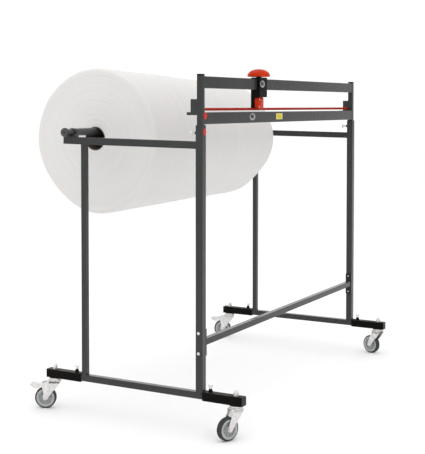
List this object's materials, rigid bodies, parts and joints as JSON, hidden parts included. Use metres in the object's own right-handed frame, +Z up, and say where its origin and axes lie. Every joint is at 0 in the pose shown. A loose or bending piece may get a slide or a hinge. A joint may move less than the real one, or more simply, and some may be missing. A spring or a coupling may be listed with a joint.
{
  "type": "mobile film roll stand",
  "caption": "Wheeled steel stand that carries a wide roll of packaging film on an axle, with a height-adjustable cutter frame and a sliding hand cutter across the front",
  "frame": {"origin": "on the floor, midway between the two side frames and under the middle of the whole depth", "axes": "X along the roll and the cutter's travel, Y from the cutter at the front to the roll at the rear, Z up"},
  "size_m": [1.9207, 1.2406, 1.5953],
  "materials": {
    "powder_coat": "satin",
    "black_coat": "satin",
    "black_plastic": "satin",
    "zinc_steel": "satin",
    "grey_rubber": "matte",
    "grey_plastic": "satin",
    "red_plastic": "gloss",
    "red_strip": "satin",
    "blade_steel": "polished",
    "dark_steel": "satin",
    "core_board": "matte",
    "soft_film": "matte"
  },
  "bodies": {
    "stand": {"left_bottom_rail": "powder_coat", "left_rear_post": "powder_coat", "left_front_post": "powder_coat", "left_roll_arm": "powder_coat", "left_upper_flange_bolt": "zinc_steel", "left_lower_flange_bolt": "zinc_steel", "right_bottom_rail": "powder_coat", "right_rear_post": "powder_coat", "right_front_post": "powder_coat", "right_roll_arm": "powder_coat", "right_upper_flange_bolt": "zinc_steel", "right_lower_flange_bolt": "zinc_steel", "stretcher": "powder_coat"},
    "cutter_frame": {"left_inner_post": "powder_coat", "left_post_cap": "black_plastic", "left_strip_bracket": "powder_coat", "right_inner_post": "powder_coat", "right_post_cap": "black_plastic", "right_strip_bracket": "powder_coat", "upper_crossbar": "powder_coat", "lower_crossbar": "powder_coat", "cutting_strip": "red_strip"},
    "cutter_carriage": {"carriage_body": "black_coat", "carriage_knob": "red_plastic", "blade_housing": "red_plastic", "cutter_blade": "blade_steel"},
    "axle": {"axle_tube": "dark_steel", "left_axle_end": "dark_steel", "right_axle_end": "dark_steel"},
    "roll": {"roll_core": "core_board", "film_roll": "soft_film"},
    "left_front_sleeve": {"left_front_castor_sleeve": "black_coat", "left_front_sleeve_cap": "black_plastic"},
    "left_front_screw": {"left_front_sleeve_wing_screw": "zinc_steel"},
    "left_front_swivel": {"left_front_castor_fork": "zinc_steel"},
    "left_front_wheel": {"left_front_castor_tyre": "grey_rubber", "left_front_castor_rim": "grey_plastic"},
    "left_rear_sleeve": {"left_rear_castor_sleeve": "black_coat", "left_rear_sleeve_cap": "black_plastic"},
    "left_rear_screw": {"left_rear_sleeve_wing_screw": "zinc_steel"},
    "left_rear_swivel": {"left_rear_castor_fork": "zinc_steel"},
    "left_rear_wheel": {"left_rear_castor_tyre": "grey_rubber", "left_rear_castor_rim": "grey_plastic"},
    "left_pedal": {"left_brake_pedal": "zinc_steel"},
    "left_height_screw": {"left_height_wing_screw": "zinc_steel"},
    "right_front_sleeve": {"right_front_castor_sleeve": "black_coat", "right_front_sleeve_cap": "black_plastic"},
    "right_front_screw": {"right_front_sleeve_wing_screw": "zinc_steel"},
    "right_front_swivel": {"right_front_castor_fork": "zinc_steel"},
    "right_front_wheel": {"right_front_castor_tyre": "grey_rubber", "right_front_castor_rim": "grey_plastic"},
    "right_rear_sleeve": {"right_rear_castor_sleeve": "black_coat", "right_rear_sleeve_cap": "black_plastic"},
    "right_rear_screw": {"right_rear_sleeve_wing_screw": "zinc_steel"},
    "right_rear_swivel": {"right_rear_castor_fork": "zinc_steel"},
    "right_rear_wheel": {"right_rear_castor_tyre": "grey_rubber", "right_rear_castor_rim": "grey_plastic"},
    "right_pedal": {"right_brake_pedal": "zinc_steel"},
    "right_height_screw": {"right_height_wing_screw": "zinc_steel"}
  },
  "joints": [
    {"name": "left_front_sleeve_slide", "type": "slide", "parent": "stand", "child": "left_front_sleeve", "axis": [0, -1, 0], "range_m": [0, 0.08]},
    {"name": "left_front_screw_turn", "type": "hinge", "parent": "left_front_sleeve", "child": "left_front_screw", "pos_m": [-0.882, -0.4513, 0.195], "axis": [0, 0, 1], "continuous": true},
    {"name": "left_front_castor_swivel", "type": "hinge", "parent": "left_front_sleeve", "child": "left_front_swivel", "pos_m": [-0.882, -0.5753, 0.14], "axis": [0, 0, 1], "continuous": true},
    {"name": "left_front_wheel_spin", "type": "hinge", "parent": "left_front_swivel", "child": "left_front_wheel", "pos_m": [-0.92369, -0.55586, 0.05], "axis": [0.4226, 0.9063, 0], "continuous": true},
    {"name": "left_rear_sleeve_slide", "type": "slide", "parent": "stand", "child": "left_rear_sleeve", "axis": [0, 1, 0], "range_m": [0, 0.08]},
    {"name": "left_rear_screw_turn", "type": "hinge", "parent": "left_rear_sleeve", "child": "left_rear_screw", "pos_m": [-0.882, 0.2533, 0.195], "axis": [0, 0, 1], "continuous": true},
    {"name": "left_rear_castor_swivel", "type": "hinge", "parent": "left_rear_sleeve", "child": "left_rear_swivel", "pos_m": [-0.882, 0.3773, 0.14], "axis": [0, 0, 1], "continuous": true},
    {"name": "left_rear_wheel_spin", "type": "hinge", "parent": "left_rear_swivel", "child": "left_rear_wheel", "pos_m": [-0.9036, 0.41792, 0.05], "axis": [0.8829, 0.4695, 0], "continuous": true},
    {"name": "left_brake_press", "type": "hinge", "parent": "left_rear_swivel", "child": "left_pedal", "pos_m": [-0.91017, 0.43028, 0.114], "axis": [0.8829, 0.4695, 0], "range_deg": [-8, 0]},
    {"name": "left_height_screw_turn", "type": "hinge", "parent": "stand", "child": "left_height_screw", "pos_m": [-0.882, -0.363, 1.299], "axis": [0, 1, 0], "continuous": true},
    {"name": "right_front_sleeve_slide", "type": "slide", "parent": "stand", "child": "right_front_sleeve", "axis": [0, -1, 0], "range_m": [0, 0.08]},
    {"name": "right_front_screw_turn", "type": "hinge", "parent": "right_front_sleeve", "child": "right_front_screw", "pos_m": [0.882, -0.4513, 0.195], "axis": [0, 0, 1], "continuous": true},
    {"name": "right_front_castor_swivel", "type": "hinge", "parent": "right_front_sleeve", "child": "right_front_swivel", "pos_m": [0.882, -0.5753, 0.14], "axis": [0, 0, 1], "continuous": true},
    {"name": "right_front_wheel_spin", "type": "hinge", "parent": "right_front_swivel", "child": "right_front_wheel", "pos_m": [0.89621, -0.53155, 0.05], "axis": [0.9511, -0.309, 0], "continuous": true},
    {"name": "right_rear_sleeve_slide", "type": "slide", "parent": "stand", "child": "right_rear_sleeve", "axis": [0, 1, 0], "range_m": [0, 0.08]},
    {"name": "right_rear_screw_turn", "type": "hinge", "parent": "right_rear_sleeve", "child": "right_rear_screw", "pos_m": [0.882, 0.2533, 0.195], "axis": [0, 0, 1], "continuous": true},
    {"name": "right_rear_castor_swivel", "type": "hinge", "parent": "right_rear_sleeve", "child": "right_rear_swivel", "pos_m": [0.882, 0.3773, 0.14], "axis": [0, 0, 1], "continuous": true},
    {"name": "right_rear_wheel_spin", "type": "hinge", "parent": "right_rear_swivel", "child": "right_rear_wheel", "pos_m": [0.86329, 0.41932, 0.05], "axis": [0.9135, 0.4067, 0], "continuous": true},
    {"name": "right_brake_press", "type": "hinge", "parent": "right_rear_swivel", "child": "right_pedal", "pos_m": [0.8576, 0.43211, 0.114], "axis": [0.9135, 0.4067, 0], "range_deg": [-8, 0]},
    {"name": "right_height_screw_turn", "type": "hinge", "parent": "stand", "child": "right_height_screw", "pos_m": [0.882, -0.363, 1.299], "axis": [0, 1, 0], "continuous": true},
    {"name": "cutter_height_slide", "type": "slide", "parent": "stand", "child": "cutter_frame", "axis": [0, 0, 1], "range_m": [0, 0.2]},
    {"name": "carriage_slide", "type": "slide", "parent": "cutter_frame", "child": "cutter_carriage", "axis": [1, 0, 0], "range_m": [-0.5, 1.14]},
    {"name": "axle_lift_out", "type": "slide", "parent": "stand", "child": "axle", "axis": [0, 0, 1], "range_m": [0, 0.12]},
    {"name": "roll_spin", "type": "hinge", "parent": "axle", "child": "roll", "pos_m": [0, 0.273, 1.2596], "axis": [1, 0, 0], "continuous": true}
  ]
}
